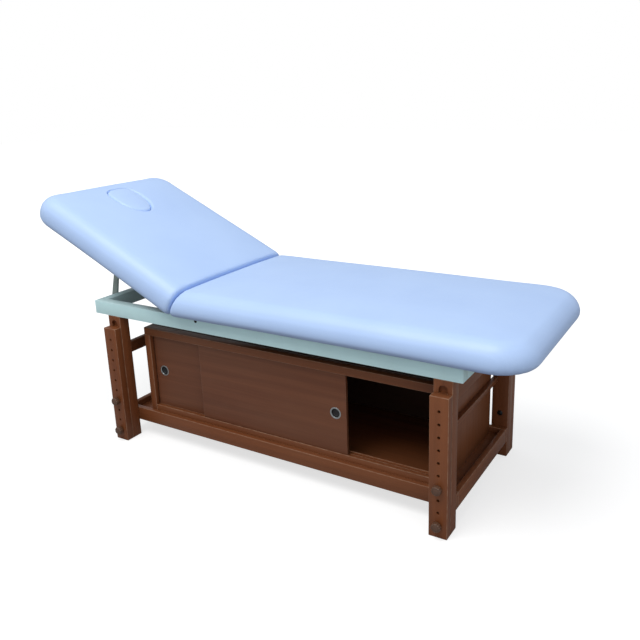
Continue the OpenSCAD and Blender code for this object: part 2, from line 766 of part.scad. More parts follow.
// The closed straps on the head rail that guide the stays
module stay_keepers() {
    swing = stay_out_low / cos(max_angle / 2) + (keeper_drop + keeper_h) * tan(max_angle / 2);
    to_pivot = stay_reach - (hinge_x - head_x);
    back_plate = to_pivot - stay_in - keeper_gap;
    reach = to_pivot + swing + keeper_gap;
    slot = stay_t + 2 * keeper_gap;
    color(steel) placed() for (sy = [-1, 1])
        translate([head_x, sy * stay_spread / 2, hinge_z - stay_drop - keeper_drop - keeper_h]) difference() {
            translate([-reach - keeper_t, -slot / 2 - keeper_t, 0])
                cube([reach + keeper_t, slot + 2 * keeper_t, keeper_h]);
            translate([-reach, -slot / 2, -cut]) cube([reach - back_plate, slot, keeper_h + 2 * cut]);
        }
}

module base_board() {
    color(wood_dark) placed()
        board([-leg_x + board_t, -cab_y, floor_z], [leg_x - board_t, cab_y, cab_z]);
}

module cabinet_top() {
    color(wood_dark) placed() board([cab_x0, -cab_y + rail_d, cab_top - board_t], [cab_x1, cab_y, cab_top]);
}

// A side of the cabinet, notched under the front rail
module cabinet_side(x) {
    color(wood_dark) placed() difference() {
        board([x, -cab_y + board_t, cab_z], [x + board_t, cab_y, cab_top - board_t]);
        board([x - cut, -cab_y, cab_top - rail_top_h], [x + board_t + cut, -cab_y + rail_d, cab_top]);
    }
}

module cabinet_back() {
    color(wood_dark) placed()
        board([cab_x0 + board_t, cab_y - back_t, cab_z], [cab_x1 - board_t, cab_y, cab_top - board_t]);
}

module stile_head() {
    color(wood) placed() board([cab_x0, -cab_y, cab_z], [door_x0, -cab_y + board_t, cab_top - rail_top_h]);
}

module stile_foot() {
    color(wood) placed() board([door_x1, -cab_y, cab_z], [cab_x1, -cab_y + board_t, cab_top - rail_top_h]);
}

// The front rail over the doors, with a groove for each door
module face_rail_top() {
    color(wood) placed() difference() {
        board([cab_x0, -cab_y, cab_top - rail_top_h], [cab_x1, -cab_y + rail_d, cab_top]);
        for (y = [door_front_y, door_rear_y])
            translate([door_x0, y - door_clear, cab_top - rail_top_h - cut])
                cube([door_x1 - door_x0, door_t + 2 * door_clear, groove_top_d + cut]);
    }
}

// The front rail under the doors, with a groove for each door
module face_rail_bottom() {
    color(wood) placed() difference() {
        board([door_x0, -cab_y, cab_z], [door_x1, -cab_y + rail_d, cab_z + rail_low_h]);
        for (y = [door_front_y, door_rear_y])
            translate([door_x0 - cut, y - door_clear, cab_z + rail_low_h - groove_low_d])
                cube([door_x1 - door_x0 + 2 * cut, door_t + 2 * door_clear, groove_low_d + cut]);
    }
}

// Places of the doors and of their pulls along the bed
function door_x(front) = front ? door_x0 + door_b_rest : door_x0 + door_end_gap;
function pull_x(front) = front ? door_x(front) + door_w - pull_edge : door_x(front) + pull_edge;
function door_y(front) = front ? door_front_y : door_rear_y;

// A sliding door with the hole of its pull
module door(front) {
    color(wood) placed() difference() {
        board([door_x(front), door_y(front), door_low],
              [door_x(front) + door_w, door_y(front) + door_t, door_high]);
        bar_y(pull_x(front), door_y(front) - cut, door_y(front) + door_t + cut,
              pull_z, pull_d - 2 * pull_rim);
    }
}

// The ring of a door pull, on the door's face
module pull_ring(front) {
    lip = pull_rim * pull_lip_share;
    color(steel) placed() translate([pull_x(front), door_y(front), pull_z]) rotate([90, 0, 0])
        rotate_extrude($fn = 64) polygon([
            [pull_d / 2 - pull_rim, 0], [pull_d / 2, 0], [pull_d / 2, lip / 2], [pull_d / 2 - lip, lip],
            [pull_d / 2 - pull_rim + lip, lip], [pull_d / 2 - pull_rim, lip / 2]]);
}

// The cup of a door pull, in the door's thickness
module pull_cup(front) {
    color(black) placed() translate([pull_x(front), door_y(front), pull_z]) rotate([-90, 0, 0]) difference() {
        cylinder(d = pull_d - 2 * pull_rim, h = cup_depth, $fn = 48);
        translate([0, 0, -cut])
            cylinder(d = pull_d - 2 * pull_rim - 2 * cup_wall, h = cup_depth - cup_wall + cut, $fn = 48);
    }
}

post(-1, -1);  // post_head_front
post(-1, 1);  // post_head_rear
post(1, -1);  // post_foot_front
post(1, 1);  // post_foot_rear
leg_plank(-1, -1);  // leg_plank_head_front
leg_plank(-1, 1);  // leg_plank_head_rear
leg_plank(1, -1);  // leg_plank_foot_front
leg_plank(1, 1);  // leg_plank_foot_rear
leg_bolts();
knob(-1, -1, bolt_zs[1]);  // knob_upper_head_front
knob(-1, 1, bolt_zs[1]);  // knob_upper_head_rear
knob(1, -1, bolt_zs[1]);  // knob_upper_foot_front
knob(1, 1, bolt_zs[1]);  // knob_upper_foot_rear
knob(-1, -1, bolt_zs[0]);  // knob_lower_head_front
knob(-1, 1, bolt_zs[0]);  // knob_lower_head_rear
knob(1, -1, bolt_zs[0]);  // knob_lower_foot_front
knob(1, 1, bolt_zs[0]);  // knob_lower_foot_rear
long_rail(-1);  // long_rail_front
long_rail(1);  // long_rail_rear
end_rail(-1);  // end_rail_head
end_rail(1);  // end_rail_foot
head_stretcher();
foot_lath();
foot_apron();
top_rail_long(-1);  // top_rail_front
top_rail_long(1);  // top_rail_rear
top_rail_head();
top_rail_foot();
cross_rail(0);  // cross_rail_hinge
cross_rail(1);  // cross_rail_middle
frame_bolts();
seat_board();
seat_pad();
seat_pad_nose();
backrest_board();
backrest_pad();
face_plug();
hinge_leaves_seat();
hinge_leaves_back();
hinge_pins();
stay(-1);  // stay_front
stay(1);  // stay_rear
stay_brackets();
stay_keepers();
base_board();
cabinet_top();
cabinet_side(cab_x0);  // cabinet_side_head
cabinet_side(cab_x1 - board_t);  // cabinet_side_foot
cabinet_back();
stile_head();
stile_foot();
face_rail_top();
face_rail_bottom();
door(false);  // door_rear_track
door(true);  // door_front_track
pull_ring(false);  // pull_ring_rear_track
pull_ring(true);  // pull_ring_front_track
pull_cup(false);  // pull_cup_rear_track
pull_cup(true);  // pull_cup_front_track
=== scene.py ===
"""Spa bed with cabinet base: cushions, stained beech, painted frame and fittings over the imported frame."""
import json
import math

import bmesh
import bpy
import numpy as np
from mathutils import Matrix, Vector

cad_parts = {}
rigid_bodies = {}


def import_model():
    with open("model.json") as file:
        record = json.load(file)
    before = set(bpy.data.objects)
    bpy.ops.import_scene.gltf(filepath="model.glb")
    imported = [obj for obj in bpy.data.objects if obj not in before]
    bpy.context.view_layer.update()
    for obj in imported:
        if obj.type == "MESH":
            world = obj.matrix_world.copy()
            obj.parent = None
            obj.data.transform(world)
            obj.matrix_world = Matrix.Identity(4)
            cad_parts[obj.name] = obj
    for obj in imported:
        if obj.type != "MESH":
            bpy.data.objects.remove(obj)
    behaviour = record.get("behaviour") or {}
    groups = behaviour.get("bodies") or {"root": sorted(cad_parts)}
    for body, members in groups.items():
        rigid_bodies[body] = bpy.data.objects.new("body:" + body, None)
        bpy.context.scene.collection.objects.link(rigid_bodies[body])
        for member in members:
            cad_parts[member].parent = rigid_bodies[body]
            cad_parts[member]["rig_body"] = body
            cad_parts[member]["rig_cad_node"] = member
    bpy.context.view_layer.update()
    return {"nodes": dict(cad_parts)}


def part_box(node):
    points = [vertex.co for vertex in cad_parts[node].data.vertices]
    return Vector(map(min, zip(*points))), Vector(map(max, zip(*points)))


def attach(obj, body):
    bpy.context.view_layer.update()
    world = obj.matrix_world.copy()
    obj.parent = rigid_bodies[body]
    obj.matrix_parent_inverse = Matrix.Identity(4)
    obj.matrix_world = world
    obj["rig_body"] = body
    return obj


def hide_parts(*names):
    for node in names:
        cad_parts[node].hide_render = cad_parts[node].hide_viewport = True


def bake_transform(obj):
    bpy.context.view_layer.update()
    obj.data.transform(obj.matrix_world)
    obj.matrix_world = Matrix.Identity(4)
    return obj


bl_info = {
    "name": "Spa Bed With Cabinet Base",
    "version": (1, 0, 0),
    "blender": (4, 5, 0),
    "location": "View3D > Sidebar > Spa Bed",
    "description": "Builds an upholstered spa bed with a lifting backrest over a low cabinet",
    "category": "Add Mesh",
}

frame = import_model()

# Places and sizes that the cushions share, in metres
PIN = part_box("hinge_pins")
HINGE = Vector(((PIN[0].x + PIN[1].x) / 2, 0, (PIN[0].z + PIN[1].z) / 2))
TILT = math.radians(25)
SEAT_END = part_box("seat_pad")[1].x
PAD_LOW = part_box("seat_pad")[0].z - HINGE.z
BACK_LENGTH = 0.716
HALF = 0.330
SEAT_HEIGHT, BACK_HEIGHT = 0.091, 0.105
# How much lower the outer end of each cushion lies, and the stretch over which it falls
SEAT_FALL, BACK_FALL, FALL_REACH = 0.012, 0.004, 0.17
# The ends that meet at the hinge: their gap, their slope over the rounding, their corner radius
SEAM_GAP, SEAM_SLOPE, SEAM_CORNER = 0.0006, 0.07, 0.012
# How much the cushions' sides are drawn in halfway, and the band over the board where the cover is held
WAIST, HELD_BAND = 0.003, 0.006
# The stretch of the seat's head end that slants against the raised backrest
SLANT_REACH = 0.32
# The cover's simulation: its frames, the rounds that even its swell, and the share kept of its sideways swell
CLOTH_FRAMES, EVENING_ROUNDS, SIDEWAYS_SHARE = 20, 60, 0.2
# The face plug: its widest place from the hinge, its reaches towards the head and the seat, its half width
PLUG_PLACE = 0.560
PLUG_HEAD, PLUG_SEAT, PLUG_SIDE = 0.076, 0.106, 0.066
PLUG_POINTS = 160
# The shortest edge of a board that is eased; shorter ones, such as those round a hole, stay sharp
SHORTEST_EASED = 0.0065
# The camera's place and the shift of its frame
CAMERA_PLACE = (1.3833, -1.9924, 1.2891)
CAMERA_SHIFT = (-0.0176, -0.0488)


def srgb(r, g, b):
    """A colour written as 0 to 255 in the usual display scale."""
    return tuple(((c / 255 + 0.055) / 1.055) ** 2.4 if c > 10 else c / 255 / 12.92 for c in (r, g, b))


# ---- properties


class SpaBedCushionProperties(bpy.types.PropertyGroup):
    leather: bpy.props.FloatVectorProperty(
        name="Cover colour", description="Colour of the artificial leather", subtype="COLOR", size=3,
        default=srgb(187, 213, 253), min=0, max=1)
    # Darker tone of the cover, used for its random mottling and grain and as the base of the painted shade on
    # the faces turned downwards.
    leather_mottle_and_shade: bpy.props.FloatVectorProperty(
        name="Cover shade", description="Colour of the cover where it is handled and creased",
        subtype="COLOR", size=3,
        default=srgb(168, 196, 243), min=0, max=1)
    edge_radius: bpy.props.FloatProperty(
        name="Upper edge", description="Radius of the foam's upper edge", default=0.056, unit="LENGTH")
    low_radius: bpy.props.FloatProperty(
        name="Lower edge", description="Radius of the foam's lower edge", default=0.034, unit="LENGTH")
    foot_radius: bpy.props.FloatProperty(
        name="Foot corner", description="Radius of the seat cushion's foot corners",
        default=0.120, unit="LENGTH")
    head_radius: bpy.props.FloatProperty(
        name="Head corner", description="Radius of the backrest's head corners", default=0.090, unit="LENGTH")
    crown: bpy.props.FloatProperty(
        name="Crown", description="Rise of the foam towards the middle", default=0.005, unit="LENGTH")
    swell: bpy.props.FloatProperty(
        name="Swell", description="Furthest that the stuffed cover may swell", default=0.0025, unit="LENGTH")
    voxel: bpy.props.FloatProperty(
        name="Mesh size", description="Size of the mesh that the simulation works on",
        default=0.0085, unit="LENGTH")
    rim: bpy.props.FloatProperty(
        name="Face hole rim", description="Radius of the padded rim of the face hole",
        default=0.011, unit="LENGTH")


class SpaBedWoodProperties(bpy.types.PropertyGroup):
    stain: bpy.props.FloatVectorProperty(
        name="Stain", description="Colour of the stained beech", subtype="COLOR", size=3,
        default=srgb(128, 72, 39), min=0, max=1)
    stain_deep: bpy.props.FloatVectorProperty(
        name="Deep stain", description="Colour of the darker rings of the stained beech",
        subtype="COLOR", size=3,
        default=srgb(107, 58, 30), min=0, max=1)
    panel: bpy.props.FloatVectorProperty(
        name="Door panel", description="Colour of the veneered doors", subtype="COLOR", size=3,
        default=srgb(117, 69, 45), min=0, max=1)
    panel_deep: bpy.props.FloatVectorProperty(
        name="Door grain", description="Colour of the grain of the doors", subtype="COLOR", size=3,
        default=srgb(101, 57, 36), min=0, max=1)
    inside: bpy.props.FloatVectorProperty(
        name="Inside", description="Colour of the cabinet's inner boards", subtype="COLOR", size=3,
        default=srgb(70, 46, 34), min=0, max=1)
    paint: bpy.props.FloatVectorProperty(
        name="Paint", description="Colour of the painted frame", subtype="COLOR", size=3,
        default=srgb(206, 240, 243), min=0, max=1)
    ease: bpy.props.FloatProperty(
        name="Eased edge", description="Width of the rounding on the boards' edges",
        default=0.0016, unit="LENGTH")


class SpaBedFittingProperties(bpy.types.PropertyGroup):
    knob: bpy.props.FloatVectorProperty(
        name="Knob", description="Colour of the moulded knobs", subtype="COLOR", size=3,
        default=srgb(92, 64, 48), min=0, max=1)
    steel: bpy.props.FloatVectorProperty(
        name="Steel", description="Colour of the plated fittings", subtype="COLOR", size=3,
        default=srgb(172, 176, 177), min=0, max=1)
    stay: bpy.props.FloatVectorProperty(
        name="Stay", description="Colour of the painted stays", subtype="COLOR", size=3,
        default=srgb(150, 164, 158), min=0, max=1)
    black: bpy.props.FloatVectorProperty(
        name="Blackened steel", description="Colour of the bolts", subtype="COLOR", size=3,
        default=srgb(30, 30, 32), min=0, max=1)
    cup: bpy.props.FloatVectorProperty(
        name="Pull cup", description="Colour of the cup behind a ring pull", subtype="COLOR", size=3,
        default=srgb(34, 34, 36), min=0, max=1)


class SpaBedStageProperties(bpy.types.PropertyGroup):
    azimuth: bpy.props.FloatProperty(
        name="Camera azimuth", description="Direction of the camera round the bed",
        default=math.radians(31.53),
        unit="ROTATION")
    elevation: bpy.props.FloatProperty(
        name="Camera elevation", description="Angle of the camera above the horizon",
        default=math.radians(16.20),
        unit="ROTATION")
    roll: bpy.props.FloatProperty(
        name="Camera roll", description="Turn of the camera about its line of sight",
        default=math.radians(-1.88),
        unit="ROTATION")
    lens: bpy.props.FloatProperty(name="Lens", description="Focal length in millimetres", default=40.32)
    key: bpy.props.FloatProperty(name="Main lamp", description="Power of the main lamp in watts", default=126)
    fill: bpy.props.FloatProperty(name="Side lamp", description="Power of the side lamp in watts", default=8)
    sky: bpy.props.FloatProperty(name="Sky", description="Strength of the light from all round", default=0.50)


# ---- helpers


def settings(kind):
    return getattr(bpy.context.scene, "spa_bed_" + kind)


def deselect():
    """Leaves nothing selected."""
    if bpy.context.object and bpy.context.object.mode != "OBJECT":
        bpy.ops.object.mode_set(mode="OBJECT")
    for o in bpy.context.selected_objects:
        o.select_set(False)


def take(piece):
    """Makes a piece the only selected and active one."""
    deselect()
    piece.select_set(True)
    bpy.context.view_layer.objects.active = piece


def settle(piece):
    """Applies a piece's place to its mesh, so that its object sits at the origin."""
    take(piece)
    bpy.ops.object.transform_apply(location=True, rotation=True, scale=True)


def pick(piece, test):
    """Selects a piece's points by their place, in edit mode."""
    bpy.ops.mesh.select_mode(type="VERT")
    bpy.ops.mesh.select_all(action="DESELECT")
    mesh = bmesh.from_edit_mesh(piece.data)
    for v in mesh.verts:
        v.select_set(bool(test(v.co)))
    mesh.select_flush(True)
    bmesh.update_edit_mesh(piece.data)


def start_from(node, name):
    """A merged copy of a CAD node, from which a finished piece is worked."""
    take(frame["nodes"][node])
    bpy.ops.object.duplicate()
    piece = bpy.context.view_layer.objects.active
    piece.name = name
    piece.parent = None
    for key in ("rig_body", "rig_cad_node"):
        del piece[key]
    piece.data.materials.clear()
    take(piece)
    bpy.ops.mesh.customdata_custom_splitnormals_clear()
    bpy.ops.object.mode_set(mode="EDIT")
    bpy.ops.mesh.select_all(action="SELECT")
    bpy.ops.mesh.remove_doubles(threshold=1e-5)
    bpy.ops.mesh.dissolve_limited(angle_limit=math.radians(1))
    bpy.ops.object.mode_set(mode="OBJECT")
    return piece


def ease_edges(piece, width, shortest, segments=2, angle=30):
    """Rounds a piece's sharp edges that are at least so long."""
    take(piece)
    bpy.context.tool_settings.mesh_select_mode = (False, True, False)
    bpy.ops.object.mode_set(mode="EDIT")
    bpy.ops.mesh.select_all(action="DESELECT")
    mesh = bmesh.from_edit_mesh(piece.data)
    for e in mesh.edges:
        if (len(e.link_faces) == 2 and e.calc_face_angle_signed(0) > math.radians(angle)
                and e.calc_length() >= shortest):
            e.select_set(True)
    bmesh.update_edit_mesh(piece.data)
    bpy.ops.mesh.bevel(offset=width, segments=segments, affect="EDGES", clamp_overlap=False)
    bpy.ops.object.mode_set(mode="OBJECT")
    worn = piece.data.attributes.get("worn") or piece.data.attributes.new("worn", "FLOAT", "FACE")
    for face, value in zip(piece.data.polygons, worn.data):
        sides = [(piece.data.vertices[a].co - piece.data.vertices[b].co).length for a, b in face.edge_keys]
        if face.select and face.area < 1.3 * width * max(sides):
            value.value = 1.0


def finish_piece(piece, body, material, nodes, angle=35):
    """Gives a piece its shading, material and body, and hides the CAD nodes that it stands for."""
    take(piece)
    bpy.ops.object.shade_smooth_by_angle(angle=math.radians(angle))
    piece.data.materials.clear()
    piece.data.materials.append(material)
    if body:
        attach(piece, body)
    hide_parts(*nodes)


def turned(name, profile, sides=64, place=(0, 0, 0), turn=(0, 0, 0)):
    """A turned piece: a circle extruded ring by ring along its radii and heights, closed at both ends."""
    deselect()
    bpy.ops.mesh.primitive_circle_add(vertices=sides, radius=profile[0][0], location=(0, 0, profile[0][1]))
    piece = bpy.context.object
    piece.name = name
    bpy.ops.object.transform_apply(location=True)
    bpy.ops.object.mode_set(mode="EDIT")
    bpy.ops.mesh.select_all(action="SELECT")
    bpy.ops.mesh.extrude_region_move()
    bpy.ops.mesh.merge(type="CENTER")
    pick(piece, lambda co: co.xy.length > profile[0][0] / 2)
    for (r0, h0), (r1, h1) in zip(profile, profile[1:]):
        bpy.ops.mesh.extrude_region_move(TRANSFORM_OT_translate={"value": (0, 0, h1 - h0)})
        bpy.ops.transform.resize(value=(r1 / r0, r1 / r0, 1), center_override=(0, 0, h1))
    bpy.ops.mesh.extrude_region_move()
    bpy.ops.mesh.merge(type="CENTER")
    bpy.ops.mesh.select_all(action="SELECT")
    bpy.ops.mesh.remove_doubles(threshold=1e-6)
    bpy.ops.mesh.normals_make_consistent(inside=False)
    bpy.ops.object.mode_set(mode="OBJECT")
    piece.rotation_euler = turn
    piece.location = place
    settle(piece)
    return piece


# ---- materials


class Shader:
    """Builds a material's nodes in a few words."""

    def __init__(self, name):
        self.material = bpy.data.materials.new(name)
        self.material.use_nodes = True
        self.tree = self.material.node_tree
        self.surface = self.tree.nodes["Principled BSDF"]
        self.place = self.add("ShaderNodeTexCoord").outputs["Object"]

    def add(self, kind, links=(), **values):
        made = self.tree.nodes.new(kind)
        for key, value in values.items():
            setattr(made, key, value)
        for socket, value in dict(links).items():
            self.put(made.inputs[socket], value)
        return made

    def put(self, socket, value):
        if isinstance(value, bpy.types.NodeSocket):
            self.tree.links.new(value, socket)
        elif isinstance(value, (tuple, list)) and len(value) == 3 and socket.type == "RGBA":
            socket.default_value = (*value, 1)
        else:
            socket.default_value = value

    def finish(self, **values):
        for socket, value in values.items():
            self.put(self.surface.inputs[socket.replace("_", " ")], value)
        return self.material

    def stretched(self, scale):
        return self.add("ShaderNodeMapping", {"Vector": self.place, "Scale": scale}).outputs[0]

    def along(self, grain, share):
        """Coordinates drawn out along one axis, the grain's."""
        return self.stretched(tuple(share if i == grain else 1.0 for i in range(3)))

    def noise(self, vector, scale, detail=2.0, roughness=0.5, distortion=0.0):
        return self.add("ShaderNodeTexNoise", {
            "Vector": vector, "Scale": scale, "Detail": detail, "Roughness": roughness,
            "Distortion": distortion}).outputs["Fac"]

    def ramp(self, value, low, high):
        made = self.add("ShaderNodeValToRGB", {"Fac": value})
        made.color_ramp.elements[0].position, made.color_ramp.elements[1].position = low, high
        return made.outputs["Color"]

    def spread(self, value, low, high, a, b):
        return self.add("ShaderNodeMapRange", {0: value, 1: low, 2: high, 3: a, 4: b}).outputs[0]

    def mix(self, share, a, b, blend="MIX"):
        made = self.add("ShaderNodeMix", data_type="RGBA", blend_type=blend)
        self.put(made.inputs[0], share)
        self.put(made.inputs[6], a)
        self.put(made.inputs[7], b)
        return made.outputs[2]

    def times(self, a, b, operation="MULTIPLY"):
        return self.add("ShaderNodeMath", {0: a, 1: b}, operation=operation).outputs[0]

    def bump(self, height, distance, strength=1.0, over=None):
        made = self.add("ShaderNodeBump", {"Height": height, "Distance": distance, "Strength": strength})
        if over is not None:
            self.put(made.inputs["Normal"], over)
        return made.outputs[0]


def mixed(a, b, share):
    return tuple(x + (y - x) * share for x, y in zip(a, b))


def beech(name, light, deep, grain, rough=0.42, fleck=1.0, figure=0.0):
    """Stained and lacquered beech: straight streaks, fine fibres and the short dark flecks of the wood."""
    s = Shader(name)
    streaks = s.noise(s.along(grain, 0.022), 42, 5, 0.62)
    fibres = s.noise(s.along(grain, 0.012), 320, 4, 0.6)
    flecks = s.noise(s.along(grain, 0.16), 640, 2, 0.5)
    clouds = s.noise(s.along(grain, 0.4), 4.5, 3, 0.5)
    colour = s.mix(s.ramp(streaks, 0.30, 0.72), light, deep)
    if figure:
        arcs = s.add("ShaderNodeTexWave", {"Vector": s.along(grain, 0.16), "Scale": 9.0, "Distortion": 5.0,
                                           "Detail": 2.0, "Detail Scale": 0.7},
                     wave_type="RINGS", rings_direction="Y").outputs["Fac"]
        colour = s.mix(s.times(s.ramp(arcs, 0.35, 0.95), figure), colour, mixed(deep, (0, 0, 0), 0.12))
    colour = s.mix(s.times(s.ramp(fibres, 0.42, 0.72), 0.30), colour, mixed(deep, (0, 0, 0), 0.2))
    colour = s.mix(s.times(s.ramp(flecks, 0.60, 0.72), 0.34 * fleck), colour, mixed(deep, (0, 0, 0), 0.45))
    colour = s.mix(s.times(s.ramp(clouds, 0.35, 0.7), 0.18), colour, mixed(light, (1, 0.78, 0.5), 0.10))
    worn = s.add("ShaderNodeAttribute", attribute_name="worn").outputs["Fac"]
    rub = s.times(worn, s.spread(s.noise(s.place, 55, 3), 0.35, 0.65, 0.2, 0.7))
    colour = s.mix(rub, colour, mixed(light, (1, 0.86, 0.66), 0.20))
    height = s.bump(fibres, 0.00016, 0.4, s.bump(flecks, 0.0001, 0.35))
    return s.finish(Base_Color=colour, Roughness=s.spread(fibres, 0.3, 0.7, rough - 0.05, rough + 0.1),
                    Normal=height, Specular_IOR_Level=0.28, Coat_Weight=0.05, Coat_Roughness=0.2)


def painted(name, colour, rough=0.38):
    """Sprayed paint over wood, with a faint orange peel, faint greyer clouds, dark specks and rubbed edges.
    """
    s = Shader(name)
    clouds = s.noise(s.place, 7, 4, 0.6)
    tone = s.mix(s.times(s.ramp(clouds, 0.35, 0.75), 0.35), colour, mixed(colour, srgb(150, 172, 176), 0.5))
    specks = s.noise(s.place, 130, 3, 0.7)
    tone = s.mix(s.times(s.ramp(specks, 0.66, 0.78), 0.14), tone, srgb(104, 104, 98))
    worn = s.add("ShaderNodeAttribute", attribute_name="worn").outputs["Fac"]
    tone = s.mix(s.times(worn, s.spread(clouds, 0.35, 0.65, 0.1, 0.5)), tone, mixed(colour, (1, 1, 1), 0.35))
    peel = s.noise(s.place, 420, 2, 0.5)
    brushed = s.noise(s.stretched((0.03, 1, 1)), 160, 3, 0.6)
    return s.finish(Base_Color=tone, Roughness=s.spread(clouds, 0.3, 0.7, rough - 0.05, rough + 0.1),
                    Normal=s.bump(peel, 0.00008, 0.6, s.bump(brushed, 0.00012, 0.4)),
                    Specular_IOR_Level=0.35)


def leather(name, colour, shade):
    """Smooth artificial leather: a fine pressed grain, a slow unevenness of the foam, a soft gloss and a
    painted shade mixed in on the faces turned downwards.
    """
    s = Shader(name)
    cells = s.add("ShaderNodeTexVoronoi", {"Vector": s.place, "Scale": 820.0, "Randomness": 1.0},
                  feature="SMOOTH_F1").outputs["Distance"]
    wrinkles = s.noise(s.place, 260, 4, 0.65, 0.6)
    clouds = s.noise(s.place, 4.5, 3, 0.5)
    spots = s.noise(s.place, 38, 4, 0.6)
    tone = s.mix(s.times(s.ramp(clouds, 0.35, 0.75), 0.30), colour, shade)
    tone = s.mix(s.times(s.ramp(cells, 0.25, 0.7), 0.10), tone, shade)
    tone = s.mix(s.times(s.ramp(spots, 0.6, 0.8), 0.10), tone, mixed(colour, (1, 1, 1), 0.4))
    # Painted shade: faces turned downwards are mixed towards a darker blue tone, standing in for the shade
    # under the cushions' lower edges.
    normal = s.add("ShaderNodeNewGeometry").outputs["Normal"]
    normal_z_for_painted_shade = s.add("ShaderNodeSeparateXYZ", {"Vector": normal}).outputs["Z"]
    tone = s.mix(s.spread(normal_z_for_painted_shade, -0.15, -0.85, 0.0, 0.7), tone, mixed(shade, (0, 0, 0.05), 0.5))
    slow = s.bump(s.noise(s.place, 9, 2, 0.4), 0.0012, 0.35)
    grain = s.bump(wrinkles, 0.00016, 0.4, s.bump(cells, 0.00012, 0.35, slow))
    return s.finish(Base_Color=tone, Roughness=s.spread(spots, 0.3, 0.7, 0.40, 0.50), Normal=grain,
                    Specular_IOR_Level=0.42, Coat_Weight=0.10, Coat_Roughness=0.35)


def metal(name, colour, rough, metallic=1.0):
    """Plated or painted steel with fine wear lines."""
    s = Shader(name)
    lines = s.noise(s.place, 600, 3, 0.6)
    clouds = s.noise(s.place, 60, 3, 0.6)
    tone = s.mix(s.times(s.ramp(clouds, 0.4, 0.75), 0.3), colour, mixed(colour, (0, 0, 0), 0.35))
    return s.finish(Base_Color=tone, Metallic=metallic, Normal=s.bump(lines, 0.00004, 0.5),
                    Roughness=s.spread(lines, 0.3, 0.7, rough - 0.06, rough + 0.1))


def moulded(name, colour, rough):
    """Moulded plastic with a fine sparked surface."""
    s = Shader(name)
    spark = s.noise(s.place, 1500, 2, 0.6)
    clouds = s.noise(s.place, 90, 3, 0.6)
    tone = s.mix(s.times(s.ramp(clouds, 0.4, 0.75), 0.35), colour, mixed(colour, (0, 0, 0), 0.3))
    return s.finish(Base_Color=tone, Roughness=s.spread(spark, 0.3, 0.7, rough - 0.05, rough + 0.12),
                    Normal=s.bump(spark, 0.00006, 0.5))


def finish_of(kind):
    """The named finish, made once."""
    made = bpy.data.materials.get("finish_" + kind)
    if made:
        return made
    w, f, c = settings("wood"), settings("fitting"), settings("cushion")
    name = "finish_" + kind
    if kind in ("beech_x", "beech_y", "beech_z"):
        return beech(name, tuple(w.stain), tuple(w.stain_deep), "xyz".index(kind[-1]))
    if kind == "door":
        return beech(name, tuple(w.panel), tuple(w.panel_deep), 0, rough=0.4, fleck=0.6, figure=0.22)
    if kind in ("inside_x", "inside_y", "inside_z"):
        return beech(name, tuple(w.inside), mixed(tuple(w.inside), (0, 0, 0), 0.3), "xyz".index(kind[-1]),
                     rough=0.5, fleck=0.5)
    if kind == "paint":
        return painted(name, tuple(w.paint))
    if kind == "leather":
        return leather(name, tuple(c.leather), tuple(c.leather_mottle_and_shade))
    if kind == "steel":
        return metal(name, tuple(f.steel), 0.28)
    if kind == "stay":
        return metal(name, tuple(f.stay), 0.4, metallic=0.0)
    if kind == "black":
        return metal(name, tuple(f.black), 0.36, metallic=0.6)
    if kind == "cup":
        return moulded(name, tuple(f.cup), 0.5)
    if kind == "knob":
        return moulded(name, tuple(f.knob), 0.4)
    raise ValueError(kind)


# ---- wooden boards


def wooden(node, body, kind):
    """A board with eased and worn edges in the place of a CAD node."""
    piece = start_from(node, node + "_board")
    ease_edges(piece, settings("wood").ease, SHORTEST_EASED)
    finish_piece(piece, body, finish_of(kind), [node])


class SPABED_OT_legs(bpy.types.Operator):
    """Build the leg posts and the sliding leg planks with their rows of holes"""
    bl_idname = "spabed.legs"
    bl_label = "Legs"

    def execute(self, context):
        for end in ("head", "foot"):
            for side in ("front", "rear"):
                wooden(f"post_{end}_{side}", "root", "beech_z")
                wooden(f"leg_plank_{end}_{side}", f"leg_plank_{end}_{side}", "beech_z")
        return {"FINISHED"}


class SPABED_OT_base(bpy.types.Operator):
    """Build the rails, the stretcher, the apron and the board between the legs"""
    bl_idname = "spabed.base"
    bl_label = "Base"

    def execute(self, context):
        for node in ("long_rail_front", "long_rail_rear"):
            wooden(node, "root", "beech_x")
        for node in ("end_rail_head", "end_rail_foot", "head_stretcher", "foot_apron", "foot_lath"):
            wooden(node, "root", "beech_y")
        wooden("base_board", "root", "beech_x")
        return {"FINISHED"}


class SPABED_OT_painted_frame(bpy.types.Operator):
    """Build the painted frame under the cushions and its cross rails"""
    bl_idname = "spabed.painted_frame"
    bl_label = "Painted Frame"

    def execute(self, context):
        for node in ("top_rail_front", "top_rail_rear", "top_rail_head", "top_rail_foot"):
            wooden(node, "root", "paint")
        for node in ("cross_rail_hinge", "cross_rail_middle"):
            wooden(node, "root", "beech_y")
        return {"FINISHED"}


class SPABED_OT_cabinet(bpy.types.Operator):
    """Build the cabinet's boards, stiles and grooved rails"""
    bl_idname = "spabed.cabinet"
    bl_label = "Cabinet"

    def execute(self, context):
        for node, kind in (("cabinet_top", "inside_x"), ("cabinet_side_head", "inside_z"),
                           ("cabinet_side_foot", "beech_z"), ("cabinet_back", "inside_x")):
            wooden(node, "root", kind)
        for node, kind in (("stile_head", "beech_z"), ("stile_foot", "beech_z"),
                           ("face_rail_top", "beech_x"), ("face_rail_bottom", "beech_x")):
            wooden(node, "root", kind)
        return {"FINISHED"}


# ---- doors and pulls


class SPABED_OT_doors(bpy.types.Operator):
    """Build the two sliding doors"""
    bl_idname = "spabed.doors"
    bl_label = "Sliding Doors"

    def execute(self, context):
        wooden("door_rear_track", "door_rear", "door")
        wooden("door_front_track", "door_front", "door")
        return {"FINISHED"}


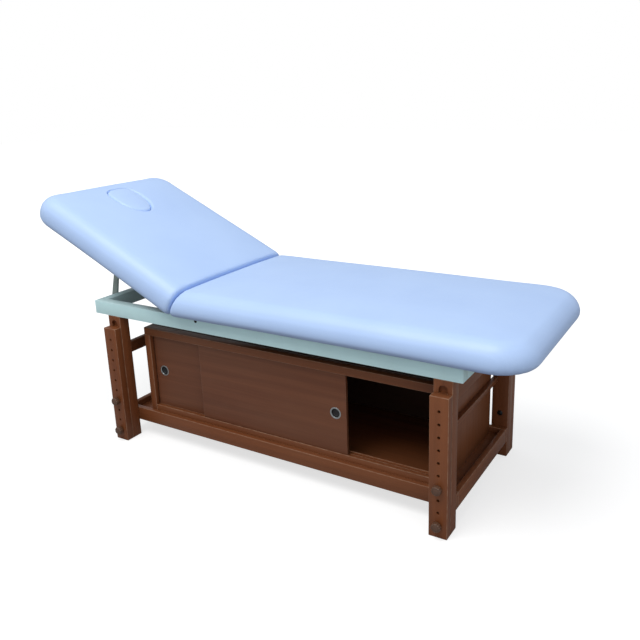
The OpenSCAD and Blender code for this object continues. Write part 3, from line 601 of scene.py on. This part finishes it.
class SPABED_OT_pulls(bpy.types.Operator):
    """Build the ring pulls and their cups"""
    bl_idname = "spabed.pulls"
    bl_label = "Ring Pulls"

    def execute(self, context):
        for track, body in (("rear_track", "door_rear"), ("front_track", "door_front")):
            low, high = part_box("pull_ring_" + track)
            centre = (low + high) / 2
            face = Vector((centre.x, high.y, centre.z))
            outer, thick = (high.x - low.x) / 2, high.y - low.y
            inner = outer - 0.0045
            ring = [(inner, 0), (outer - 0.0002, 0), (outer, thick * 0.35), (outer - 0.0005, thick * 0.75),
                    (outer - 0.0014, thick), (inner + 0.0012, thick * 0.94), (inner + 0.0004, thick * 0.7),
                    (inner - 0.0004, thick * 0.2), (inner - 0.0006, -0.0016), (inner, -0.0016)]
            piece = self.ring("pull_rim_" + track, ring, face)
            finish_piece(piece, body, finish_of("steel"), ["pull_ring_" + track], 50)
            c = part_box("pull_cup_" + track)
            depth, r = c[1].y - c[0].y, (c[1].x - c[0].x) / 2
            cup = [(r - 0.0003, -0.0016), (r, -0.0022), (r, -depth + 0.001), (r - 0.001, -depth),
                   (r * 0.5, -depth)]
            inside = [(r * 0.4, -depth + 0.0012), (r * 0.6, -depth + 0.0013), (r - 0.0026, -depth + 0.0016),
                      (r - 0.0015, -depth + 0.003), (r - 0.0013, -0.0016)]
            piece = turned("pull_well_" + track, cup[::-1] + [cup[0], inside[-1]] + inside[::-1],
                           64, face, (math.radians(90), 0, 0))
            finish_piece(piece, body, finish_of("cup"), ["pull_cup_" + track], 50)
        return {"FINISHED"}

    def ring(self, name, profile, place):
        """A closed ring turned about its axis."""
        deselect()
        bpy.ops.mesh.primitive_circle_add(vertices=72, radius=profile[0][0], location=(0, 0, profile[0][1]))
        piece = bpy.context.object
        piece.name = name
        bpy.ops.object.transform_apply(location=True)
        bpy.ops.object.mode_set(mode="EDIT")
        bpy.ops.mesh.select_all(action="SELECT")
        for (r0, h0), (r1, h1) in zip(profile, profile[1:] + profile[:1]):
            bpy.ops.mesh.extrude_region_move(TRANSFORM_OT_translate={"value": (0, 0, h1 - h0)})
            bpy.ops.transform.resize(value=(r1 / r0, r1 / r0, 1), center_override=(0, 0, h1))
        bpy.ops.mesh.select_all(action="SELECT")
        bpy.ops.mesh.remove_doubles(threshold=1e-6)
        bpy.ops.mesh.normals_make_consistent(inside=False)
        bpy.ops.object.mode_set(mode="OBJECT")
        piece.rotation_euler = (math.radians(90), 0, 0)
        piece.location = place
        settle(piece)
        return piece


# ---- knobs and bolts

KNOB_SIDES, SIDES_PER_FLUTE = 96, 8
# Each flute's depth: steps from its middle, and the share of the radius there
FLUTE = ((0, 0.90), (1, 0.92), (2, 0.965))


class SPABED_OT_knobs(bpy.types.Operator):
    """Build the eight fluted knobs of the legs"""
    bl_idname = "spabed.knobs"
    bl_label = "Leg Knobs"

    def execute(self, context):
        first = None
        for level in ("upper", "lower"):
            for end in ("head", "foot"):
                for side in ("front", "rear"):
                    node = f"knob_{level}_{end}_{side}"
                    low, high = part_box(node)
                    centre, length = (low + high) / 2, high.y - low.y
                    out = -1 if side == "front" else 1
                    first = first or self.model(length, (high.x - low.x) / 2)
                    take(first)
                    bpy.ops.object.duplicate()
                    piece = bpy.context.object
                    piece.name = node + "_grip"
                    piece.rotation_euler = (math.radians(90 if out < 0 else -90), 0, 0)
                    piece.location = (centre.x, low.y if out > 0 else high.y, centre.z)
                    settle(piece)
                    finish_piece(piece, node, finish_of("knob"), [node], 40)
        bpy.data.objects.remove(first)
        return {"FINISHED"}

    def from_flute(self, co):
        """How many of the knob's sides a point lies from the nearest flute's middle."""
        place = round(math.degrees(math.atan2(co.y, co.x)) * KNOB_SIDES / 360) % SIDES_PER_FLUTE
        return min(place, SIDES_PER_FLUTE - place)

    def model(self, length, r):
        """One knob on +Z: a skirt, a fluted grip and a capped end."""
        profile = [(r * 0.55, 0), (r * 0.62, 0.0008), (r * 0.64, 0.003), (r * 0.9, 0.0042), (r, 0.0062),
                   (r, length * 0.5), (r, length - 0.0042), (r * 0.97, length - 0.002),
                   (r * 0.88, length - 0.0004), (r * 0.72, length), (r * 0.70, length - 0.0008),
                   (r * 0.66, length - 0.0009),
                   (r * 0.62, length - 0.0004), (r * 0.3, length - 0.0001)]
        piece = turned("knob_model", profile, KNOB_SIDES)
        take(piece)
        bpy.ops.object.mode_set(mode="EDIT")
        for step, share in FLUTE:
            pick(piece, lambda co: co.xy.length > r * 0.86 and step == self.from_flute(co))
            bpy.ops.transform.resize(value=(share, share, 1), center_override=(0, 0, 0))
        bpy.ops.object.mode_set(mode="OBJECT")
        return piece


class SPABED_OT_bolts(bpy.types.Operator):
    """Build the bolts of the legs and of the painted frame"""
    bl_idname = "spabed.bolts"
    bl_label = "Bolts"

    def execute(self, context):
        legs = start_from("leg_bolts", "leg_bolts_domed")
        finish_piece(legs, "root", finish_of("black"), ["leg_bolts"], 30)
        bolts = start_from("frame_bolts", "frame_bolts_domed")
        ease_edges(bolts, 0.0009, 0.0, segments=3, angle=25)
        finish_piece(bolts, "root", finish_of("black"), ["frame_bolts"], 60)
        return {"FINISHED"}


# ---- cushions


def ring(x0, x1, half, r0, r1, z):
    """One level ring of a cushion, slightly waisted, with as many points in each stretch at every level."""
    pts = []

    def arc(cx, cy, r, start, n):
        pts.extend((cx + r * math.cos(math.radians(start + 90 * i / n)),
                    cy + r * math.sin(math.radians(start + 90 * i / n))) for i in range(n))

    def run(ax, ay, bx, by, n):
        pts.extend((ax + (bx - ax) * i / n, ay + (by - ay) * i / n) for i in range(n))

    arc(x1 - r1, half - r1, r1, 0, 14)
    run(x1 - r1, half, x0 + r0, half, 40)
    arc(x0 + r0, half - r0, r0, 90, 5)
    run(x0, half - r0, x0, r0 - half, 30)
    arc(x0 + r0, r0 - half, r0, 180, 5)
    run(x0 + r0, -half, x1 - r1, -half, 40)
    arc(x1 - r1, r1 - half, r1, 270, 14)
    run(x1, r1 - half, x1, half - r1, 24)
    out = []
    for x, y in pts:
        pull = WAIST * max(0.0, 1 - ((2 * x - x0 - x1) / (x1 - x0)) ** 2) * min(1.0, abs(y) / half) ** 4
        out.append((x, y - math.copysign(pull, y), z))
    return out


def foam(name, length, height, corner, fall):
    """The plain foam of a cushion, lying flat along +X from the hinge line and falling to its outer end."""
    c = settings("cushion")
    half, low, high = HALF, PAD_LOW, PAD_LOW + height
    top, bottom = c.edge_radius, c.low_radius
    levels = [(bottom * (1 - math.sin(a)), low + bottom * (1 - math.cos(a)))
              for a in np.radians(np.linspace(0, 90, 7))]
    levels += [(top * (1 - math.cos(a)), high - top * (1 - math.sin(a)))
               for a in np.radians(np.linspace(0, 90, 10))]
    levels += [(top + (half * 0.72 - top) * k, high + c.crown * (1 - (1 - k) ** 2))
               for k in np.linspace(0.2, 1, 5)]
    rings = [ring(SEAM_GAP + SEAM_SLOPE * inset, length - inset, half - inset, SEAM_CORNER,
                  max(corner - inset, SEAM_CORNER), z) for inset, z in levels]
    piece = stack(name, rings)
    co = points(piece)
    share = np.clip((co[:, 0] - length + FALL_REACH) / FALL_REACH, 0, 1)
    co[:, 2] -= fall * share ** 2 * (co[:, 2] - low) / height
    move_points(piece, co)
    return piece


def points(piece):
    co = np.zeros(len(piece.data.vertices) * 3)
    piece.data.vertices.foreach_get("co", co)
    return co.reshape(-1, 3)


def move_points(piece, co):
    piece.data.vertices.foreach_set("co", np.asarray(co, float).ravel())
    piece.data.update()


def add_modifier(piece, kind, **values):
    """Adds a modifier and applies it."""
    take(piece)
    made = piece.modifiers.new(kind.lower(), kind)
    for key, value in values.items():
        setattr(made, key, value)
    bpy.ops.object.modifier_apply(modifier=made.name)


def evened(piece, step):
    """Spreads every point's step over its neighbours, so that no crease stays in the swell."""
    ends = np.zeros(len(piece.data.edges) * 2, int)
    piece.data.edges.foreach_get("vertices", ends)
    a, b = ends.reshape(-1, 2).T
    count = np.bincount(ends, minlength=len(step))[:, None]
    for _ in range(EVENING_ROUNDS):
        total = np.zeros_like(step)
        np.add.at(total, a, step[b])
        np.add.at(total, b, step[a])
        step = 0.5 * step + 0.5 * total / np.maximum(count, 1)
    return step


def stuff(piece):
    """Remeshes the foam and lets its cover swell in a cloth simulation, no further than the cap."""
    cap = settings("cushion").swell
    add_modifier(piece, "REMESH", mode="VOXEL", voxel_size=settings("cushion").voxel)
    add_modifier(piece, "SMOOTH", factor=0.5, iterations=3)
    before = points(piece)
    held = piece.vertex_groups.new(name="held")
    low = np.nonzero(before[:, 2] < PAD_LOW + HELD_BAND)[0]
    held.add([int(i) for i in low], 1.0, "REPLACE")
    take(piece)
    scene = bpy.context.scene
    scene.frame_set(1)
    made = piece.modifiers.new("cover", "CLOTH")
    cloth = made.settings
    cloth.quality = 5
    cloth.mass = 0.3
    cloth.tension_stiffness = cloth.compression_stiffness = 15
    cloth.shear_stiffness = 8
    cloth.bending_stiffness = 0.6
    cloth.use_pressure = True
    cloth.uniform_pressure_force = 4
    cloth.effector_weights.gravity = 0
    cloth.vertex_group_mass = "held"
    made.collision_settings.use_collision = False
    made.point_cache.frame_start, made.point_cache.frame_end = 1, CLOTH_FRAMES
    for f in range(1, CLOTH_FRAMES + 1):
        scene.frame_set(f)
    bpy.ops.object.modifier_apply(modifier=made.name)
    scene.frame_set(1)
    step = points(piece) - before
    step[:, :2] *= SIDEWAYS_SHARE
    step[:, 2] = np.maximum(step[:, 2], 0)
    step = evened(piece, step)
    far = np.linalg.norm(step, axis=1, keepdims=True)
    move_points(piece, before + step * (cap * np.tanh(far / cap) / np.maximum(far, 1e-9)))
    piece.vertex_groups.clear()


def tuck_corners(piece, length, r):
    """Small gathered folds where the cover is drawn under at the outer corners."""
    co = points(piece)
    for side in (-1, 1):
        cx, cy = length - r, side * (HALF - r)
        dx, dy = co[:, 0] - cx, co[:, 1] - cy
        turn = np.degrees(np.arctan2(dy * side, dx))
        near = (dx > -0.01) & (dy * side > -0.01)
        reach = np.hypot(dx, dy)
        rise = np.clip((co[:, 2] - PAD_LOW) / 0.05, 0, 1)
        depth = 0.0011 * (1 - rise) ** 2 * np.clip((reach - r * 0.55) / (r * 0.4), 0, 1)
        wave = np.cos(np.radians(turn) * 22) * np.exp(-((turn - 45) / 32) ** 2)
        pull = np.where(near, depth * wave, 0)
        co[:, 0] -= pull * dx / np.maximum(reach, 1e-6)
        co[:, 1] -= pull * dy / np.maximum(reach, 1e-6)
    move_points(piece, co)


class SPABED_OT_seat_cushion(bpy.types.Operator):
    """Build the seat cushion, whose head end the backrest presses"""
    bl_idname = "spabed.seat_cushion"
    bl_label = "Seat Cushion"

    def execute(self, context):
        c = settings("cushion")
        length = SEAT_END - HINGE.x
        piece = foam("seat_cushion", length, SEAT_HEIGHT, c.foot_radius, SEAT_FALL)
        stuff(piece)
        add_modifier(piece, "SUBSURF", levels=1, render_levels=1)
        tuck_corners(piece, length, c.foot_radius)
        co = points(piece)
        share = np.clip(1 - co[:, 0] / SLANT_REACH, 0, 1)
        co[:, 0] += np.maximum(co[:, 2], 0) * math.tan(TILT) * share * share * (3 - 2 * share)
        co[:, 2] = np.maximum(co[:, 2], PAD_LOW)
        move_points(piece, co + np.array(HINGE))
        finish_piece(piece, None, finish_of("leather"), ["seat_pad", "seat_pad_nose"], 60)
        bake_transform(piece)
        return {"FINISHED"}


def plug_ring(inset, z):
    """The face plug's outline drawn in by an inset: squarer towards the head, rounder towards the seat."""
    out = []
    for i in range(PLUG_POINTS):
        t = 2 * math.pi * i / PLUG_POINTS
        x, y = math.cos(t), math.sin(t)
        power, reach = (3.2, PLUG_HEAD) if x > 0 else (2.0, PLUG_SEAT)
        out.append((PLUG_PLACE + (reach - inset) * math.copysign(abs(x) ** (2 / power), x),
                    (PLUG_SIDE - inset) * math.copysign(abs(y) ** (2 / power), y), z))
    return out


def stack(name, rings):
    """A closed solid through a stack of rings."""
    n = len(rings[0])
    verts = [p for r in rings for p in r] + [tuple(np.mean(rings[0], 0)), tuple(np.mean(rings[-1], 0))]
    faces = [(k * n + i, k * n + (i + 1) % n, (k + 1) * n + (i + 1) % n, (k + 1) * n + i)
             for k in range(len(rings) - 1) for i in range(n)]
    faces += [((i + 1) % n, i, n * len(rings)) for i in range(n)]
    last = (len(rings) - 1) * n
    faces += [(last + i, last + (i + 1) % n, n * len(rings) + 1) for i in range(n)]
    mesh = bpy.data.meshes.new(name)
    mesh.from_pydata(verts, [], faces)
    piece = bpy.data.objects.new(name, mesh)
    bpy.context.scene.collection.objects.link(piece)
    return piece


def raise_to_backrest(piece):
    """Turns a piece that was drawn flat from the hinge, head at +X, on to the raised backrest."""
    co = points(piece)
    co[:, 0] *= -1
    s, c = math.sin(TILT), math.cos(TILT)
    x, z = co[:, 0] * c + co[:, 2] * s, -co[:, 0] * s + co[:, 2] * c
    move_points(piece, np.stack([x + HINGE.x, co[:, 1], z + HINGE.z], 1))
    take(piece)
    bpy.ops.object.mode_set(mode="EDIT")
    bpy.ops.mesh.select_all(action="SELECT")
    bpy.ops.mesh.flip_normals()
    bpy.ops.object.mode_set(mode="OBJECT")


class SPABED_OT_backrest_cushion(bpy.types.Operator):
    """Build the backrest cushion with its padded face hole"""
    bl_idname = "spabed.backrest_cushion"
    bl_label = "Backrest Cushion"

    def execute(self, context):
        c = settings("cushion")
        piece = foam("backrest_cushion", BACK_LENGTH, BACK_HEIGHT, c.head_radius, BACK_FALL)
        stuff(piece)
        add_modifier(piece, "SUBSURF", levels=1, render_levels=1)
        tuck_corners(piece, BACK_LENGTH, c.head_radius)
        co = points(piece)
        co[:, 2] = np.maximum(co[:, 2], PAD_LOW)
        move_points(piece, co)
        near = ((co[:, 0] > PLUG_PLACE - PLUG_SEAT) & (co[:, 0] < PLUG_PLACE + PLUG_HEAD)
                & (np.abs(co[:, 1]) < PLUG_SIDE) & (co[:, 2] > 0.05))
        top = float(np.mean(co[near, 2]))
        context.scene["spa_bed_top"] = top
        rim = c.rim
        rings = [plug_ring(0, -0.02), plug_ring(0, 0.04)]
        rings += [plug_ring(rim * (math.cos(a) - 1), top - rim + rim * math.sin(a))
                  for a in np.radians(np.linspace(0, 72, 8))]
        rings += [plug_ring(-rim, top + 0.002), plug_ring(-rim, top + 0.03)]
        cutter = stack("face_hole_cutter", rings)
        add_modifier(piece, "BOOLEAN", operation="DIFFERENCE", object=cutter, solver="EXACT")
        bpy.data.objects.remove(cutter)
        raise_to_backrest(piece)
        finish_piece(piece, "backrest", finish_of("leather"), ["backrest_pad"], 60)
        return {"FINISHED"}


class SPABED_OT_face_plug(bpy.types.Operator):
    """Build the lift-out pillow of the face hole"""
    bl_idname = "spabed.face_plug"
    bl_label = "Face Plug"

    def execute(self, context):
        top = context.scene["spa_bed_top"] + 0.0005
        gap, edge, low, side = 0.0008, 0.0105, PAD_LOW + 0.0126, PLUG_SIDE - 0.004
        rings = [plug_ring(0.004 + side * (1 - k), low) for k in (0.2, 0.5, 0.8)]
        rings += [plug_ring(gap + 0.003 * (1 - math.sin(t)), low + 0.003 * (1 - math.cos(t)))
                  for t in np.radians(np.linspace(10, 90, 4))]
        rings += [plug_ring(gap, z) for z in np.linspace(low + 0.008, top - edge, 10)]
        rings += [plug_ring(gap + edge * (1 - math.cos(t)), top - edge * (1 - math.sin(t)))
                  for t in np.radians(np.linspace(15, 90, 6))]
        rings += [plug_ring(gap + edge + (PLUG_SIDE - gap - edge) * k, top + 0.003 * (1 - (1 - k) ** 2))
                  for k in np.linspace(0.1, 0.95, 10)]
        piece = stack("face_plug_cover", rings)
        add_modifier(piece, "SUBSURF", levels=1, render_levels=1)
        raise_to_backrest(piece)
        finish_piece(piece, "face_plug", finish_of("leather"), ["face_plug"], 60)
        return {"FINISHED"}


class SPABED_OT_cushion_boards(bpy.types.Operator):
    """Build the boards under the cushions"""
    bl_idname = "spabed.cushion_boards"
    bl_label = "Cushion Boards"

    def execute(self, context):
        wooden("seat_board", "root", "inside_x")
        wooden("backrest_board", "backrest", "inside_x")
        return {"FINISHED"}


# ---- hinges and stays


class SPABED_OT_hinges(bpy.types.Operator):
    """Build the two hinges of the backrest"""
    bl_idname = "spabed.hinges"
    bl_label = "Hinges"

    def execute(self, context):
        for node, body in (("hinge_leaves_seat", "root"), ("hinge_leaves_back", "backrest"),
                           ("hinge_pins", "root")):
            piece = start_from(node, node + "_plated")
            ease_edges(piece, 0.0003, 0.002, segments=2, angle=50)
            finish_piece(piece, body, finish_of("steel"), [node], 40)
        return {"FINISHED"}


class SPABED_OT_stays(bpy.types.Operator):
    """Build the notched stays, their brackets and their keepers"""
    bl_idname = "spabed.stays"
    bl_label = "Stays"

    def execute(self, context):
        for node, body, kind, width in (
                ("stay_front", "stay_front", "stay", 0.0008), ("stay_rear", "stay_rear", "stay", 0.0008),
                ("stay_brackets", "backrest", "steel", 0.0005), ("stay_keepers", "root", "steel", 0.0006)):
            piece = start_from(node, node + "_steel")
            ease_edges(piece, width, 0.0025, segments=2, angle=40)
            finish_piece(piece, body, finish_of(kind), [node], 40)
        return {"FINISHED"}


# ---- stage


class SPABED_OT_stage(bpy.types.Operator):
    """Set the camera, the lamps and the white floor"""
    bl_idname = "spabed.stage"
    bl_label = "Stage"

    def execute(self, context):
        st, scene = settings("stage"), context.scene
        a, e, roll = st.azimuth, st.elevation, st.roll
        back = Vector((math.sin(a) * math.cos(e), -math.cos(a) * math.cos(e), math.sin(e)))
        right = (-back).cross(Vector((0, 0, 1))).normalized()
        up = right.cross(-back)
        x_axis = right * math.cos(roll) + up * math.sin(roll)
        y_axis = -right * math.sin(roll) + up * math.cos(roll)
        deselect()
        bpy.ops.object.camera_add()
        camera = context.object
        camera.name = "photo_camera"
        camera.matrix_world = Matrix.Translation(CAMERA_PLACE) @ Matrix(
            (x_axis, y_axis, back)).transposed().to_4x4()
        camera.data.sensor_width, camera.data.lens = 36, st.lens
        camera.data.shift_x, camera.data.shift_y = CAMERA_SHIFT
        camera.data.clip_start, camera.data.clip_end = 0.05, 60
        scene.camera = camera
        for name, place, size, power, colour in (
                ("main_lamp", (-0.2, -1.9, 4.3), 3.0, st.key, (1.0, 0.99, 0.97)),
                ("side_lamp", (2.8, -1.6, 1.6), 2.0, st.fill, (0.95, 0.97, 1.0))):
            bpy.ops.object.light_add(type="AREA", location=place)
            lamp = context.object
            lamp.name = name
            lamp.data.shape, lamp.data.size = "DISK", size
            lamp.data.energy, lamp.data.color = power, colour
            lamp.rotation_euler = (Vector((0, 0, 0.4)) - Vector(place)).to_track_quat("-Z", "Y").to_euler()
        self.world(scene, st.sky)
        self.floor()
        scene.view_settings.view_transform = "Standard"
        return {"FINISHED"}

    def world(self, scene, strength):
        world = bpy.data.worlds.new("studio")
        scene.world = world
        world.use_nodes = True
        tree = world.node_tree
        sky = tree.nodes["Background"]
        sky.inputs[0].default_value, sky.inputs[1].default_value = (0.93, 0.96, 1.0, 1), strength
        seen = tree.nodes.new("ShaderNodeBackground")
        seen.inputs[0].default_value, seen.inputs[1].default_value = (1, 1, 1, 1), 1.0
        paths, mix = tree.nodes.new("ShaderNodeLightPath"), tree.nodes.new("ShaderNodeMixShader")
        clear = tree.nodes.new("ShaderNodeMath")
        clear.operation = "MAXIMUM"
        link = tree.links.new
        link(paths.outputs["Is Camera Ray"], clear.inputs[0])
        link(paths.outputs["Is Transmission Ray"], clear.inputs[1])
        link(clear.outputs[0], mix.inputs[0])
        link(sky.outputs[0], mix.inputs[1])
        link(seen.outputs[0], mix.inputs[2])
        link(mix.outputs[0], tree.nodes["World Output"].inputs[0])

    def floor(self):
        deselect()
        bpy.ops.mesh.primitive_plane_add(size=30, location=(0, 0, -0.0005))
        floor = bpy.context.object
        floor.name = "floor"
        s = Shader("white_floor")
        tree = s.tree
        s.finish(Base_Color=(0.45, 0.45, 0.45), Roughness=0.9, Specular_IOR_Level=0.1)
        away = s.add("ShaderNodeVectorMath", {0: s.place}, operation="LENGTH").outputs["Value"]
        glow = s.add("ShaderNodeEmission", {"Color": (1.0, 1.0, 1.0),
                                            "Strength": s.spread(away, 1.3, 3.2, 0.68, 1.0)})
        paths = s.add("ShaderNodeLightPath")
        off = s.add("ShaderNodeEmission", {"Color": (0.0, 0.0, 0.0), "Strength": 0.0})
        seen = s.times(paths.outputs["Is Camera Ray"], paths.outputs["Is Transmission Ray"], "MAXIMUM")
        shown = s.add("ShaderNodeMixShader", {0: seen, 1: off.outputs[0], 2: glow.outputs[0]})
        total = s.add("ShaderNodeAddShader", {0: s.surface.outputs[0], 1: shown.outputs[0]})
        tree.links.new(total.outputs[0], tree.nodes["Material Output"].inputs[0])
        floor.data.materials.append(s.material)


PARTS = (SPABED_OT_stage, SPABED_OT_seat_cushion, SPABED_OT_backrest_cushion, SPABED_OT_face_plug,
         SPABED_OT_cushion_boards, SPABED_OT_painted_frame, SPABED_OT_legs, SPABED_OT_base,
         SPABED_OT_cabinet, SPABED_OT_doors, SPABED_OT_pulls, SPABED_OT_knobs, SPABED_OT_bolts,
         SPABED_OT_hinges, SPABED_OT_stays)
GROUPS = {"cushion": SpaBedCushionProperties, "wood": SpaBedWoodProperties,
          "fitting": SpaBedFittingProperties, "stage": SpaBedStageProperties}


class SPABED_PT_panel(bpy.types.Panel):
    """Sizes, finishes and build steps of the spa bed"""
    bl_idname = "SPABED_PT_panel"
    bl_label = "Spa Bed"
    bl_space_type = "VIEW_3D"
    bl_region_type = "UI"
    bl_category = "Spa Bed"

    def draw(self, context):
        for kind, group in GROUPS.items():
            box = self.layout.box()
            box.label(text=kind.capitalize())
            for key in group.__annotations__:
                box.prop(getattr(context.scene, "spa_bed_" + kind), key)
        for part in PARTS:
            self.layout.operator(part.bl_idname)


def register():
    for kind, group in GROUPS.items():
        bpy.utils.register_class(group)
        setattr(bpy.types.Scene, "spa_bed_" + kind, bpy.props.PointerProperty(type=group))
    for part in (*PARTS, SPABED_PT_panel):
        bpy.utils.register_class(part)


def unregister():
    for part in (*PARTS, SPABED_PT_panel):
        bpy.utils.unregister_class(part)
    for kind, group in GROUPS.items():
        delattr(bpy.types.Scene, "spa_bed_" + kind)
        bpy.utils.unregister_class(group)


def main():
    register()
    for part in PARTS:
        family, step = part.bl_idname.split(".")
        getattr(getattr(bpy.ops, family), step)()
    deselect()


if __name__ == "__main__":
    main()
